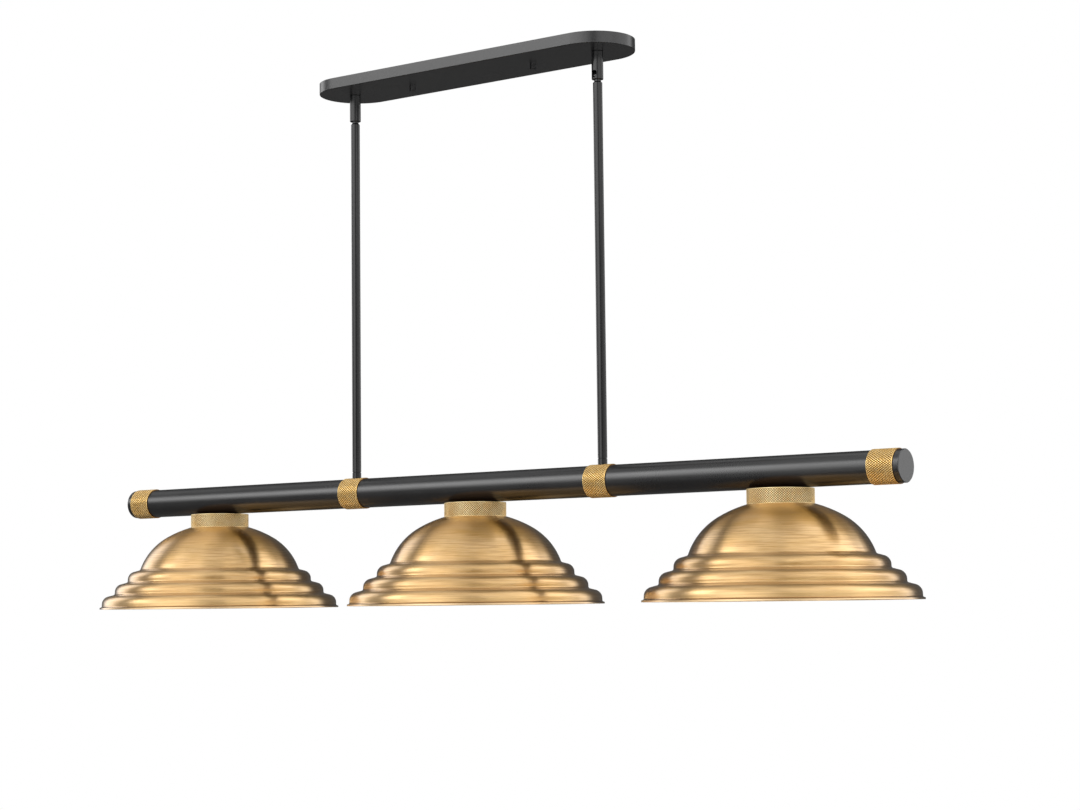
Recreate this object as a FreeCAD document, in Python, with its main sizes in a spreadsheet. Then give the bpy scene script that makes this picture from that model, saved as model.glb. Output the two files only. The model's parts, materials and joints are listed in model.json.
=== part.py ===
"""Linear pendant light with three stepped metal shades, hung from a long ceiling canopy.

Millimetres. The origin is on the ceiling, at the middle of the canopy. +X runs along the light
and +Z points up into the ceiling. Two bodies move on each other: the canopy with its swivel
couplers, and everything that hangs from their two balls.
"""
import FreeCAD
import Part
import Sketcher
import math
import os
import re

from FreeCAD import Placement, Rotation, Vector

# Driving sizes, one cell each

SIZES = {
    # Overall layout
    "tube_drop": 598.0,
    "rod_end_margin": 50.5,
    "shade_end_margin": 170.0,
    "seat_gap": 0.05,
    "thread_gap": 0.1,
    "overrun": 2.0,

    # Canopy cover, a shallow pan with round ends
    "canopy_length": 534.0,
    "canopy_width": 112.0,
    "canopy_depth": 16.0,
    "canopy_skin": 1.2,
    "canopy_edge_round": 1.0,

    # Mounting bracket, its studs and what is screwed to it
    "stud_spacing": 216.0,
    "bracket_end_margin": 15.0,
    "bracket_width": 25.0,
    "bracket_thickness": 2.5,
    "box_screw_spacing": 88.9,
    "box_slot_length": 22.0,
    "box_slot_width": 4.8,
    "stud_radius": 2.1,
    "stud_hole_gap": 0.4,
    "lock_nut_flats": 8.7,
    "lock_nut_height": 3.2,
    "cap_nut_radius": 4.3,
    "cap_nut_height": 9.0,
    "cap_nut_end": 1.6,
    "cap_nut_chamfer": 0.6,
    "ground_screw_place": 78.0,
    "ground_screw_radius": 2.3,
    "ground_head_radius": 4.5,
    "ground_head_height": 2.8,
    "ground_slot_width": 1.1,
    "ground_slot_depth": 1.2,
    "block_length": 26.0,
    "block_width": 20.0,
    "block_height": 9.0,
    "block_pitch": 6.0,
    "block_entry_depth": 7.0,
    "block_entry_gap": 0.3,

    # Hollow threaded nipples, their hex nuts, washers and saddles
    "nipple_radius": 4.95,
    "nipple_bore": 3.6,
    "nipple_hole_gap": 0.3,
    "hex_nut_flats": 14.0,
    "hex_nut_height": 3.0,
    "washer_radius": 8.2,
    "washer_thickness": 1.0,
    "saddle_radius": 9.0,
    "saddle_height": 3.0,
    "nipple_proud": 0.8,

    # Swivel coupler under the canopy
    "coupler_radius": 7.9,
    "coupler_length": 38.5,
    "coupler_edge": 0.5,
    "coupler_thread_depth": 14.0,
    "coupler_bore_height": 14.0,
    "mouth_height": 4.6,
    "mouth_radius": 6.9,
    "seat_radius": 5.95,
    "slot_width": 7.4,
    "slot_height": 10.4,
    "slot_above_end": 1.6,

    # Ball stud at the top of each rod
    "ball_radius": 6.6,
    "ball_gap": 0.05,
    "neck_radius": 4.6,
    "neck_length": 8.2,
    "lead_bore": 3.3,
    "stud_collar_height": 2.4,
    "stud_collar_edge": 1.0,
    "shank_radius": 5.1,
    "shank_length": 12.0,

    # Rods and the feet that screw them to the tube
    "rod_radius": 6.35,
    "rod_wall": 1.15,
    "foot_height": 8.5,
    "foot_edge": 0.5,
    "foot_groove_height": 0.8,
    "foot_groove_depth": 0.7,
    "foot_thread_depth": 7.0,

    # Main tube, its end caps and the knurled sleeves on it
    "tube_radius": 21.0,
    "tube_wall": 1.5,
    "tube_length": 1320.0,
    "cap_length": 8.0,
    "cap_edge": 0.7,
    "cap_plug_length": 12.0,
    "cap_plug_wall": 2.0,
    "cap_face_thickness": 3.0,
    "sleeve_radius": 22.3,
    "sleeve_width": 36.0,
    "sleeve_edge": 0.4,

    # Knurled neck cup on each shade
    "cup_radius": 43.0,
    "cup_height": 19.4,
    "cup_skin": 1.6,
    "cup_edge": 0.5,

    # Shade, measured from its axis and up from its rim
    "shade_radius": 177.8,
    "shade_skin": 1.0,
    "lip_reach": 3.1,
    "lip_edge": 2.2,
    "lip_rise": 1.2,
    "lip_root_radius": 1.2,
    "rim_height": 0.6,
    "step_run": 19.0,
    "step_rise": 18.2,
    "step_lean": 0.6,
    "tread_rise": 4.8,
    "shoulder_radius": 12.0,
    "valley_radius": 2.5,
    "haunch_radius": 89.0,
    "haunch_centre_offset": 34.2,
    "crown_radius": 157.0,
    "crown_height": 128.3,
    "shade_seat_radius": 26.0,

    # Lamp holder, its contacts and the ring that clamps the shade
    "holder_top_radius": 15.0,
    "holder_flange_radius": 24.5,
    "holder_flange_thickness": 3.0,
    "holder_skirt_radius": 19.8,
    "holder_skirt_length": 40.0,
    "holder_cavity_radius": 14.6,
    "holder_web": 3.0,
    "holder_thread_depth": 8.0,
    "shell_wall": 0.4,
    "shell_gap": 0.15,
    "shell_length": 27.0,
    "shell_top_thickness": 0.8,
    "contact_radius": 4.2,
    "contact_thickness": 1.0,
    "ring_radius": 26.0,
    "ring_height": 7.0,
    "ring_edge": 0.8,

    # Lamp bulb
    "bulb_base_radius": 13.2,
    "bulb_base_length": 24.0,
    "bulb_tip_radius": 4.5,
    "bulb_tip_height": 2.0,
    "bulb_shoulder": 6.0,
    "bulb_radius": 30.0,
    "bulb_length": 106.0,
    "bulb_glass": 1.0,
    "bulb_neck_curve": 40.0,

    # Leads, one twin flex for each lamp
    "lead_radius": 1.05,
    "lead_pitch": 2.15,
    "lead_bend": 9.0,
    "canopy_bend": 4.6,
    "canopy_lead_bend": 16.0,
    "lead_end_gap": 0.3,
}

# The bulb's neck joins its round end this far above the round end's centre
BULB_JOIN_SHARE = 0.62

# How far a swept lead's volume may be from its length times its section
LEAD_ERROR_SHARE = 0.01

FULL_TURN = 360

ALIAS = re.compile(r"[A-Za-z_]+")

doc = FreeCAD.newDocument("billiard_light")
sheet = doc.addObject("Spreadsheet::Sheet", "dims")
for row, (size_name, size_value) in enumerate(SIZES.items(), start=1):
    sheet.set("A%d" % row, size_name)
    sheet.set("B%d" % row, str(size_value))
    sheet.setAlias("B%d" % row, size_name)
doc.recompute()

nodes = []


def bound(text):
    """The text with each size's name pointed at its cell."""
    return ALIAS.sub(lambda word: "dims." + word.group() if word.group() in SIZES else word.group(), text)


def value(text):
    """What a text of named sizes comes to, in millimetres."""
    return float(sheet.evalExpression(bound(text)))


# Derived places, as texts of named sizes

TUBE_LEVEL = "(-tube_drop)"
CANOPY_FLOOR = "(-canopy_depth)"
COUPLER_END = "(-canopy_depth - coupler_length)"
BALL_LEVEL = "(-canopy_depth - coupler_length + mouth_height)"
ROD_TOP = "(-canopy_depth - coupler_length + mouth_height - neck_length - stud_collar_height)"
FOOT_SEAT = "(-tube_drop + sleeve_radius + seat_gap)"
ROD_END = "(-tube_drop + sleeve_radius + seat_gap + foot_height)"
CUP_TOP = "(-tube_drop - tube_radius - seat_gap)"
CUP_CEILING = "(-tube_drop - tube_radius - seat_gap - cup_skin)"
CROWN_CENTRE = "(crown_height - crown_radius)"
DOME_AT_CUP = "(crown_height - crown_radius + sqrt(crown_radius ^ 2 - cup_radius ^ 2))"
DOME_AT_SEAT = "(crown_height - crown_radius + sqrt(crown_radius ^ 2 - shade_seat_radius ^ 2))"
RIM_LEVEL = "(%s - cup_height - seat_gap - %s)" % (CUP_TOP, DOME_AT_CUP)
SHADE_SEAT = "(%s + %s)" % (RIM_LEVEL, DOME_AT_SEAT)
NIPPLE_HOLE = "(nipple_radius + nipple_hole_gap)"
TUBE_BORE = "(tube_radius - tube_wall)"
SHELL_TOP = "(%s - holder_web)" % SHADE_SEAT
BULB_TOP = "(%s - contact_thickness - seat_gap)" % SHELL_TOP

RODS = (("left", -1), ("right", 1))
SHADES = (("left", -1), ("centre", 0), ("right", 1))


def rod_place(sign):
    """How far along X a rod hangs: a fixed margin inside the canopy's end."""
    return "%d * (canopy_length / 2 - rod_end_margin)" % sign


def shade_place(sign):
    """How far along X a shade's axis is: in the middle, or a fixed margin inside the tube's end."""
    return "%d * (tube_length / 2 - shade_end_margin)" % sign


# Helpers that build and bind

def bind(thing, **texts):
    """Bind each property to a text of named sizes; x, y and z are the object's place."""
    for name, text in texts.items():
        path = "Placement.Base." + name if name in ("x", "y", "z") else name
        thing.setExpression(path, bound(text))
    return thing


def node(thing, label):
    """Give a finished sub-part its label and put it on the list that is written."""
    thing.Label = label
    nodes.append(thing)
    return thing


def cylinder(name, radius, length, x="0", y="0", z="0", turn=None):
    """A cylinder that stands on its place along +Z, or as turned."""
    thing = doc.addObject("Part::Cylinder", name)
    if turn:
        thing.Placement = Placement(Vector(), turn)
    return bind(thing, Radius=radius, Height=length, x=x, y=y, z=z)


def block(name, length, width, height, x, y, z):
    """A box whose lowest corner is at its place."""
    thing = doc.addObject("Part::Box", name)
    return bind(thing, Length=length, Width=width, Height=height, x=x, y=y, z=z)


def hexagon(name, flats, height, x, y, z):
    """A hexagonal prism, sized across its flats."""
    thing = doc.addObject("Part::Prism", name)
    thing.Polygon = 6
    return bind(thing, Circumradius="(%s) / sqrt(3)" % flats, Height=height, x=x, y=y, z=z)


def cut(name, base, *tools):
    """The base with every tool taken out of it."""
    thing = doc.addObject("Part::Cut", name)
    thing.Base = base
    if len(tools) > 1:
        joined = doc.addObject("Part::MultiFuse", name + "_tools")
        joined.Shapes = list(tools)
        thing.Tool = joined
    else:
        thing.Tool = tools[0]
    return thing


def group(label, pieces):
    """Identical pieces kept apart in one sub-part."""
    thing = doc.addObject("Part::Compound", label)
    thing.Links = pieces
    return node(thing, label)


def new_body(name, x="0", y="0", z="0", turn=None):
    """A body at its place."""
    body = doc.addObject("PartDesign::Body", name)
    if turn:
        body.Placement = Placement(Vector(), turn)
    return bind(body, x=x, y=y, z=z)


def new_sketch(body, name, role):
    """A sketch on one of the body's own origin planes."""
    sketch = body.newObject("Sketcher::SketchObject", name)
    plane = [item for item in body.Origin.OriginFeatures if item.Role == role][0]
    sketch.AttachmentSupport = [(plane, "")]
    sketch.MapMode = "FlatFace"
    return sketch


def constrain(sketch, kind, *where, text=None):
    """Add one constraint and bind its value to a text of named sizes."""
    if text is None:
        sketch.addConstraint(Sketcher.Constraint(kind, *where))
        return
    index = sketch.addConstraint(Sketcher.Constraint(kind, *where, value(text)))
    sketch.setExpression("Constraints[%d]" % index, bound(text))


def place_point(sketch, geometry, end, across, up):
    """Tie a point to its distance from the sketch's origin, or to the axis it lies on."""
    if across == "0":
        constrain(sketch, "PointOnObject", geometry, end, -2)
    else:
        constrain(sketch, "DistanceX", -1, 1, geometry, end, text=across)
    if up == "0":
        constrain(sketch, "PointOnObject", geometry, end, -1)
    else:
        constrain(sketch, "DistanceY", -1, 1, geometry, end, text=up)


def draw_circle(sketch, radius, across="0", up="0"):
    """A bound circle."""
    centre = Vector(value(across), value(up), 0)
    index = sketch.addGeometry(Part.Circle(centre, Vector(0, 0, 1), value(radius)))
    constrain(sketch, "Radius", index, text=radius)
    place_point(sketch, index, 3, across, up)


def draw_stadium(sketch, length, width, across="0", up="0"):
    """A bound slot outline with round ends, along the sketch's first axis."""
    half_run = "((%s) - (%s)) / 2" % (length, width)
    radius = value(width) / 2
    left = Vector(value(across) - value(half_run), value(up), 0)
    right = Vector(value(across) + value(half_run), value(up), 0)
    side = Vector(0, radius, 0)
    axis = Vector(0, 0, 1)
    quarter = math.pi / 2
    low = sketch.addGeometry(Part.LineSegment(left - side, right - side))
    east = sketch.addGeometry(Part.ArcOfCircle(Part.Circle(right, axis, radius), -quarter, quarter))
    high = sketch.addGeometry(Part.LineSegment(right + side, left + side))
    west = sketch.addGeometry(Part.ArcOfCircle(Part.Circle(left, axis, radius), quarter, 3 * quarter))
    for first, second in ((low, east), (east, high), (high, west), (west, low)):
        constrain(sketch, "Tangent", first, 2, second, 1)
    constrain(sketch, "Horizontal", low)
    constrain(sketch, "Horizontal", high)
    constrain(sketch, "Radius", east, text="(%s) / 2" % width)
    place_point(sketch, east, 3, "(%s) + %s" % (across, half_run), up)
    constrain(sketch, "DistanceX", -1, 1, west, 3, text="(%s) - %s" % (across, half_run))


def arc_between(start, end, radius, side):
    """The arc of under a half turn from start to end, and which of its ends is the start.

    Side 1 bulges to the left of the way from start to end, and side -1 to the right.
    """
    chord = end - start
    middle = (start + end) / 2
    left = Vector(-chord.y, chord.x, 0).normalize()
    rise = math.sqrt(max(radius ** 2 - (chord.Length / 2) ** 2, 0))
    centre = middle - left * rise * side
    first = math.atan2(start.y - centre.y, start.x - centre.x)
    last = math.atan2(end.y - centre.y, end.x - centre.x)
    circle = Part.Circle(centre, Vector(0, 0, 1), radius)
    if side == 1:
        return Part.ArcOfCircle(circle, last, first + (2 * math.pi if first < last else 0)), 2
    return Part.ArcOfCircle(circle, first, last + (2 * math.pi if last < first else 0)), 1


def draw_outline(sketch, outline):
    """A closed outline of bound points, joined by lines, or by an arc of a bound radius.

    Each entry is (across, up), or (across, up, radius, side) where an arc leads to that point.
    """
    spots = [Vector(value(entry[0]), value(entry[1]), 0) for entry in outline]
    starts = []
    ends = []
    for number, entry in enumerate(outline):
        before = spots[number - 1]
        here = spots[number]
        if len(entry) == 2:
            index = sketch.addGeometry(Part.LineSegment(before, here))
            starts.append((index, 1))
            ends.append((index, 2))
        else:
            arc, first_end = arc_between(before, here, value(entry[2]), entry[3])
            index = sketch.addGeometry(arc)
            starts.append((index, first_end))
            ends.append((index, 3 - first_end))
    for number, entry in enumerate(outline):
        following = starts[(number + 1) % len(outline)]
        constrain(sketch, "Coincident", *ends[number], *following)
        place_point(sketch, *ends[number], entry[0], entry[1])
        if len(entry) == 4:
            constrain(sketch, "Radius", ends[number][0], text=entry[2])


def turned_body(name, outline, x="0", y="0", z="0", turn=None):
    """A body turned about its own Z axis."""
    body = new_body(name, x, y, z, turn)
    sketch = new_sketch(body, name + "_outline", "XZ_Plane")
    draw_outline(sketch, outline)
    turning = body.newObject("PartDesign::Revolution", name + "_turned")
    turning.Profile = sketch
    turning.ReferenceAxis = (sketch, ["V_Axis"])
    turning.Angle = FULL_TURN
    doc.recompute()
    return body


def pocket(body, name, sketch, depth=None, both_ways=False, forward=False):
    """Take a sketch's outline out of the body, to a depth behind the sketch or right through."""
    before = body.Tip.Shape.Volume
    hole = body.newObject("PartDesign::Pocket", name)
    hole.Profile = sketch
    hole.Midplane = both_ways
    hole.Reversed = forward
    if depth is None:
        hole.Type = "ThroughAll"
    else:
        bind(hole, Length=depth)
    doc.recompute()
    if hole.Shape.Volume >= before:
        raise RuntimeError(name + " cuts nothing")
    return hole


def circles_at(shape, spots):
    """The names of the round edges with each radius and height in spots."""
    names = []
    for number, edge in enumerate(shape.Edges, start=1):
        if not isinstance(edge.Curve, Part.Circle):
            continue
        for radius, level in spots:
            near = abs(edge.Curve.Radius - value(radius)) + abs(edge.Curve.Center.z - value(level))
            if near < value("seat_gap"):
                names.append("Edge%d" % number)
    return names


def rounded_wire(points, radii):
    """Straight runs through the points, with each corner rounded to its radius."""
    edges = []
    start = points[0]
    for before, corner, after, radius in zip(points, points[1:], points[2:], radii):
        back = (before - corner).normalize()
        ahead = (after - corner).normalize()
        half = back.getAngle(ahead) / 2
        reach = radius / math.tan(half)
        middle_way = (back + ahead).normalize()
        first = corner + back * reach
        last = corner + ahead * reach
        middle = corner + middle_way * (radius / math.sin(half) - radius)
        edges.append(Part.LineSegment(start, first).toShape())
        edges.append(Part.Arc(first, middle, last).toShape())
        start = last
    edges.append(Part.LineSegment(start, points[-1]).toShape())
    return Part.Wire(edges)


def lead_solid(points, radii):
    """A round lead along rounded runs."""
    path = rounded_wire(points, radii)
    section = Part.Wire([Part.Circle(points[0], points[1] - points[0], value("lead_radius")).toShape()])
    solid = path.makePipeShell([section], True, False, 2)
    expected = math.pi * value("lead_radius") ** 2 * path.Length
    if abs(solid.Volume / expected - 1) > LEAD_ERROR_SHARE:
        raise RuntimeError("a lead has lost its section")
    return solid


def lead_feature(name, shape):
    """A lead as its own feature."""
    thing = doc.addObject("Part::Feature", name)
    thing.Shape = shape
    return thing


ON_SIDE = Rotation(Vector(0, 1, 0), 90)
FACING_LEFT = Rotation(Vector(0, 1, 0), -90)


# Canopy

def make_canopy_cover():
    """A shallow pan, open to the ceiling, with holes for two couplers and two studs."""
    body = new_body("canopy_cover")
    outside = new_sketch(body, "canopy_outside", "XY_Plane")
    draw_stadium(outside, "canopy_length", "canopy_width")
    pad = body.newObject("PartDesign::Pad", "canopy_pad")
    pad.Profile = outside
    pad.Reversed = True
    bind(pad, Length="canopy_depth")
    doc.recompute()
    floor = value(CANOPY_FLOOR)
    low = []
    for number, edge in enumerate(pad.Shape.Edges, start=1):
        if abs(edge.BoundBox.ZMax - floor) < value("seat_gap"):
            low.append("Edge%d" % number)
    rounding = body.newObject("PartDesign::Fillet", "canopy_rounding")
    rounding.Base = (pad, low)
    bind(rounding, Radius="canopy_edge_round")
    doc.recompute()
    inside = new_sketch(body, "canopy_inside", "XY_Plane")
    draw_stadium(inside, "canopy_length - 2 * canopy_skin", "canopy_width - 2 * canopy_skin")
    pocket(body, "canopy_hollow", inside, "canopy_depth - canopy_skin")
    holes = new_sketch(body, "canopy_holes", "XY_Plane")
    for _side, sign in RODS:
        draw_circle(holes, NIPPLE_HOLE, rod_place(sign))
        draw_circle(holes, "stud_radius + stud_hole_gap", "%d * stud_spacing / 2" % sign)
    pocket(body, "canopy_drilled", holes)
    return node(body, "canopy_cover")


def make_mounting_bracket():
    """A flat strip under the outlet box, slotted for the box screws."""
    body = new_body("mounting_bracket")
    outside = new_sketch(body, "bracket_outside", "XY_Plane")
    draw_stadium(outside, "stud_spacing + 2 * bracket_end_margin", "bracket_width")
    pad = body.newObject("PartDesign::Pad", "bracket_pad")
    pad.Profile = outside
    pad.Reversed = True
    bind(pad, Length="bracket_thickness")
    doc.recompute()
    holes = new_sketch(body, "bracket_holes", "XY_Plane")
    for _side, sign in RODS:
        draw_stadium(holes, "box_slot_length", "box_slot_width", "%d * box_screw_spacing / 2" % sign)
        draw_circle(holes, "stud_radius + thread_gap", "%d * stud_spacing / 2" % sign)
    draw_circle(holes, "ground_screw_radius + thread_gap", "ground_screw_place")
    pocket(body, "bracket_drilled", holes)
    return node(body, "mounting_bracket")


def make_canopy_fixings():
    """The two studs with their lock nuts, and the cap nuts that hold the cover up."""
    studs = []
    lock_nuts = []
    cap_nuts = []
    stud_length = "canopy_depth + cap_nut_height - cap_nut_end - lead_end_gap"
    for side, sign in RODS:
        x = "%d * stud_spacing / 2" % sign
        studs.append(cylinder("stud_" + side, "stud_radius", stud_length, x, z="-(%s)" % stud_length))
        top = "-bracket_thickness - lock_nut_height"
        prism = hexagon("lock_prism_" + side, "lock_nut_flats", "lock_nut_height", x, "0", top)
        thread = "stud_radius + thread_gap"
        hole = cylinder("lock_hole_" + side, thread, "lock_nut_height + 2 * overrun",
                        x, z=top + " - overrun")
        lock_nuts.append(cut("lock_nut_" + side, prism, hole))
        outline = [
            (thread, "0"),
            ("cap_nut_radius", "0"),
            ("cap_nut_radius", "cap_nut_chamfer - cap_nut_height"),
            ("cap_nut_radius - cap_nut_chamfer", "-cap_nut_height"),
            ("0", "-cap_nut_height"),
            ("0", "cap_nut_end - cap_nut_height"),
            (thread, "cap_nut_end - cap_nut_height"),
        ]
        cap_nuts.append(turned_body("cap_nut_" + side, outline, x, z=CANOPY_FLOOR))
    group("canopy_studs", studs)
    group("stud_lock_nuts", lock_nuts)
    group("canopy_cap_nuts", cap_nuts)


def make_ground_screw():
    """The slotted screw that earths the bracket."""
    head_level = "-bracket_thickness - ground_head_height"
    shank = cylinder("ground_shank", "ground_screw_radius", "bracket_thickness + ground_head_height",
                     "ground_screw_place", z=head_level)
    head = cylinder("ground_head", "ground_head_radius", "ground_head_height",
                    "ground_screw_place", z=head_level)
    joined = doc.addObject("Part::Fuse", "ground_blank")
    joined.Base = shank
    joined.Tool = head
    slot = block("ground_slot", "2 * ground_head_radius + 2 * overrun", "ground_slot_width",
                 "ground_slot_depth + overrun", "ground_screw_place - ground_head_radius - overrun",
                 "-ground_slot_width / 2", head_level + " - overrun")
    node(cut("ground_screw", joined, slot), "ground_screw")


def make_terminal_block():
    """The block under the bracket where the lamp leads meet the house wires."""
    body = block("terminal_blank", "block_length", "block_width", "block_height",
                 "-block_length / 2", "-block_width / 2", "-bracket_thickness - block_height")
    level = "(-bracket_thickness - block_height / 2)"
    tools = []
    for number in (-1, 0, 1):
        y = "%d * block_pitch" % number
        for face, turn in (("in", ON_SIDE), ("out", FACING_LEFT)):
            start = "-block_length / 2 - overrun" if face == "in" else "block_length / 2 + overrun"
            tools.append(cylinder("entry_%s_%d" % (face, number + 1), "lead_radius + block_entry_gap",
                                  "block_entry_depth + overrun", start, y, level, turn))
        tools.append(cylinder("screw_well_%d" % (number + 1), "lead_radius + block_entry_gap",
                              "block_height / 2", "0", y, "-bracket_thickness - block_height - overrun"))
    node(cut("terminal_block", body, *tools), "terminal_block")


# Swivels

def make_coupler(side, sign):
    """The barrel under the canopy that the ball sits in, with its round-ended side slot."""
    outline = [
        ("seat_radius", "mouth_height - sqrt((ball_radius + ball_gap) ^ 2 - seat_radius ^ 2)"),
        ("ball_radius + ball_gap", "mouth_height", "ball_radius + ball_gap", -1),
        ("ball_radius + ball_gap", "mouth_height + coupler_bore_height"),
        ("nipple_radius + thread_gap", "mouth_height + coupler_bore_height"),
        ("nipple_radius + thread_gap", "coupler_length"),
        ("coupler_radius - coupler_edge", "coupler_length"),
        ("coupler_radius", "coupler_length - coupler_edge"),
        ("coupler_radius", "coupler_edge"),
        ("coupler_radius - coupler_edge", "0"),
        ("mouth_radius", "0"),
    ]
    x = rod_place(sign)
    body = turned_body("coupler_" + side, outline, x, z=COUPLER_END)
    sketch = new_sketch(body, "slot_outline_" + side, "XZ_Plane")
    low = "(slot_above_end + slot_width / 2)"
    high = "(slot_above_end + slot_height - slot_width / 2)"
    draw_upright_slot(sketch, "slot_width", low, high)
    # The right coupler's slot is turned to the front, the left one's to the back
    pocket(body, "side_slot_" + side, sketch, "coupler_radius + overrun", forward=sign > 0)
    return node(body, "swivel_coupler_" + side)


def draw_upright_slot(sketch, width, low, high):
    """A bound slot outline with round ends, along the sketch's second axis."""
    radius = value(width) / 2
    foot = Vector(0, value(low), 0)
    head = Vector(0, value(high), 0)
    side = Vector(radius, 0, 0)
    axis = Vector(0, 0, 1)
    east = sketch.addGeometry(Part.LineSegment(foot + side, head + side))
    top = sketch.addGeometry(Part.ArcOfCircle(Part.Circle(head, axis, radius), 0, math.pi))
    west = sketch.addGeometry(Part.LineSegment(head - side, foot - side))
    end = sketch.addGeometry(Part.ArcOfCircle(Part.Circle(foot, axis, radius), math.pi, 2 * math.pi))
    for first, second in ((east, top), (top, west), (west, end), (end, east)):
        constrain(sketch, "Tangent", first, 2, second, 1)
    constrain(sketch, "Vertical", east)
    constrain(sketch, "Vertical", west)
    constrain(sketch, "Radius", top, text="(%s) / 2" % width)
    place_point(sketch, top, 3, "0", high)
    constrain(sketch, "DistanceY", -1, 1, end, 3, text=low)


def make_ball_stud(side, sign):
    """The ball, its neck, the collar that caps the rod and the shank inside the rod."""
    collar = "(-neck_length)"
    rod_end = "(-neck_length - stud_collar_height)"
    outline = [
        ("lead_bore", "sqrt(ball_radius ^ 2 - lead_bore ^ 2)"),
        ("neck_radius", "-sqrt(ball_radius ^ 2 - neck_radius ^ 2)", "ball_radius", 1),
        ("neck_radius", collar + " + stud_collar_edge"),
        ("rod_radius - stud_collar_edge", collar),
        ("rod_radius", collar + " - stud_collar_edge"),
        ("rod_radius", rod_end),
        ("shank_radius", rod_end),
        ("shank_radius", rod_end + " - shank_length"),
        ("lead_bore", rod_end + " - shank_length"),
    ]
    body = turned_body("ball_" + side, outline, rod_place(sign), z=BALL_LEVEL)
    return node(body, "ball_stud_" + side)


def hollow_nipple(name, length, x, z):
    """A hollow threaded tube, from its lower end up."""
    outside = cylinder(name + "_outside", "nipple_radius", length, x, z=z)
    bore = cylinder(name + "_bore", "nipple_bore", "(%s) + 2 * overrun" % length, x, z="(%s) - overrun" % z)
    return cut(name, outside, bore)


def hex_nut(name, x, z):
    """A hex nut on a nipple, from its lower face up."""
    prism = hexagon(name + "_prism", "hex_nut_flats", "hex_nut_height", x, "0", z)
    hole = cylinder(name + "_hole", "nipple_radius + thread_gap", "hex_nut_height + 2 * overrun",
                    x, z="(%s) - overrun" % z)
    return cut(name, prism, hole)


def make_coupler_fixings():
    """What clamps the couplers to the canopy: nipple, washer and nut."""
    nipples = []
    washers = []
    nuts = []
    floor = "(-canopy_depth + canopy_skin)"
    height = "(canopy_skin + washer_thickness + hex_nut_height + nipple_proud)"
    for side, sign in RODS:
        x = rod_place(sign)
        nipples.append(hollow_nipple("coupler_nipple_" + side, "coupler_thread_depth + " + height, x,
                                     "-canopy_depth - coupler_thread_depth"))
        disc = cylinder("washer_disc_" + side, "washer_radius", "washer_thickness", x, z=floor)
        hole = cylinder("washer_hole_" + side, "nipple_radius + thread_gap",
                        "washer_thickness + 2 * overrun", x, z=floor + " - overrun")
        washers.append(cut("washer_" + side, disc, hole))
        nuts.append(hex_nut("coupler_nut_" + side, x, floor + " + washer_thickness"))
    group("coupler_nipples", nipples)
    group("coupler_washers", washers)
    group("coupler_nuts", nuts)


# Rods and feet

def make_rod(side, sign):
    """The thin hanging tube."""
    x = rod_place(sign)
    length = "(%s - %s)" % (ROD_TOP, ROD_END)
    outside = cylinder("rod_outside_" + side, "rod_radius", length, x, z=ROD_END)
    bore = cylinder("rod_bore_" + side, "rod_radius - rod_wall", length + " + 2 * overrun",
                    x, z=ROD_END + " - overrun")
    return node(cut("rod_" + side, outside, bore), "stem_rod_" + side)


def make_foot(side, sign):
    """The short collar that the rod screws on to, cut to sit on the round sleeve."""
    outline = [
        ("rod_radius", "-foot_height"),
        ("rod_radius", "foot_height - foot_groove_height - foot_edge"),
        ("rod_radius - foot_edge", "foot_height - foot_groove_height"),
        ("rod_radius - foot_groove_depth", "foot_height - foot_groove_height"),
        ("rod_radius - foot_groove_depth", "foot_height"),
        ("shank_radius", "foot_height"),
        ("shank_radius", "foot_height + shank_length"),
        ("lead_bore", "foot_height + shank_length"),
        ("lead_bore", "foot_thread_depth"),
        ("nipple_radius + thread_gap", "foot_thread_depth"),
        ("nipple_radius + thread_gap", "-foot_height"),
    ]
    x = rod_place(sign)
    body = turned_body("foot_turned_" + side, outline, x, z=FOOT_SEAT)
    saddle = cylinder("foot_saddle_" + side, "sleeve_radius + seat_gap", "2 * (rod_radius + overrun)",
                      x + " - rod_radius - overrun", z=TUBE_LEVEL, turn=ON_SIDE)
    return node(cut("foot_" + side, body, saddle), "stem_foot_" + side)


def make_saddle(name, x, top_side):
    """A block inside the tube, its far face round like the bore, so that a nut sits flat."""
    radius = TUBE_BORE
    bottom = "%s + %s - seat_gap - saddle_height" % (TUBE_LEVEL, radius)
    if top_side < 0:
        bottom = "%s - %s + seat_gap - saddle_height" % (TUBE_LEVEL, radius)
    disc = cylinder(name + "_disc", "saddle_radius", "2 * saddle_height", x, z=bottom)
    bore = cylinder(name + "_bore", radius + " - seat_gap", "2 * (saddle_radius + overrun)",
                    x + " - saddle_radius - overrun", z=TUBE_LEVEL, turn=ON_SIDE)
    inside = doc.addObject("Part::Common", name + "_inside")
    inside.Base = disc
    inside.Tool = bore
    hole = cylinder(name + "_hole", "nipple_radius + thread_gap", "2 * saddle_height + 2 * overrun",
                    x, z=bottom + " - overrun")
    return cut(name, inside, hole)


def make_stem_fixings():
    """Inside the tube under each rod: nipple, saddle and nut."""
    nipples = []
    saddles = []
    nuts = []
    saddle_face = "(%s + %s - seat_gap - saddle_height)" % (TUBE_LEVEL, TUBE_BORE)
    low = "(%s - hex_nut_height - nipple_proud)" % saddle_face
    high = "(%s + foot_thread_depth - lead_end_gap)" % FOOT_SEAT
    for side, sign in RODS:
        x = rod_place(sign)
        nipples.append(hollow_nipple("stem_nipple_" + side, "%s - %s" % (high, low), x, low))
        saddles.append(make_saddle("stem_saddle_" + side, x, 1))
        nuts.append(hex_nut("stem_nut_" + side, x, saddle_face + " - hex_nut_height"))
    group("stem_nipples", nipples)
    group("stem_saddles", saddles)
    group("stem_nuts", nuts)


# Main tube

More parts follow.
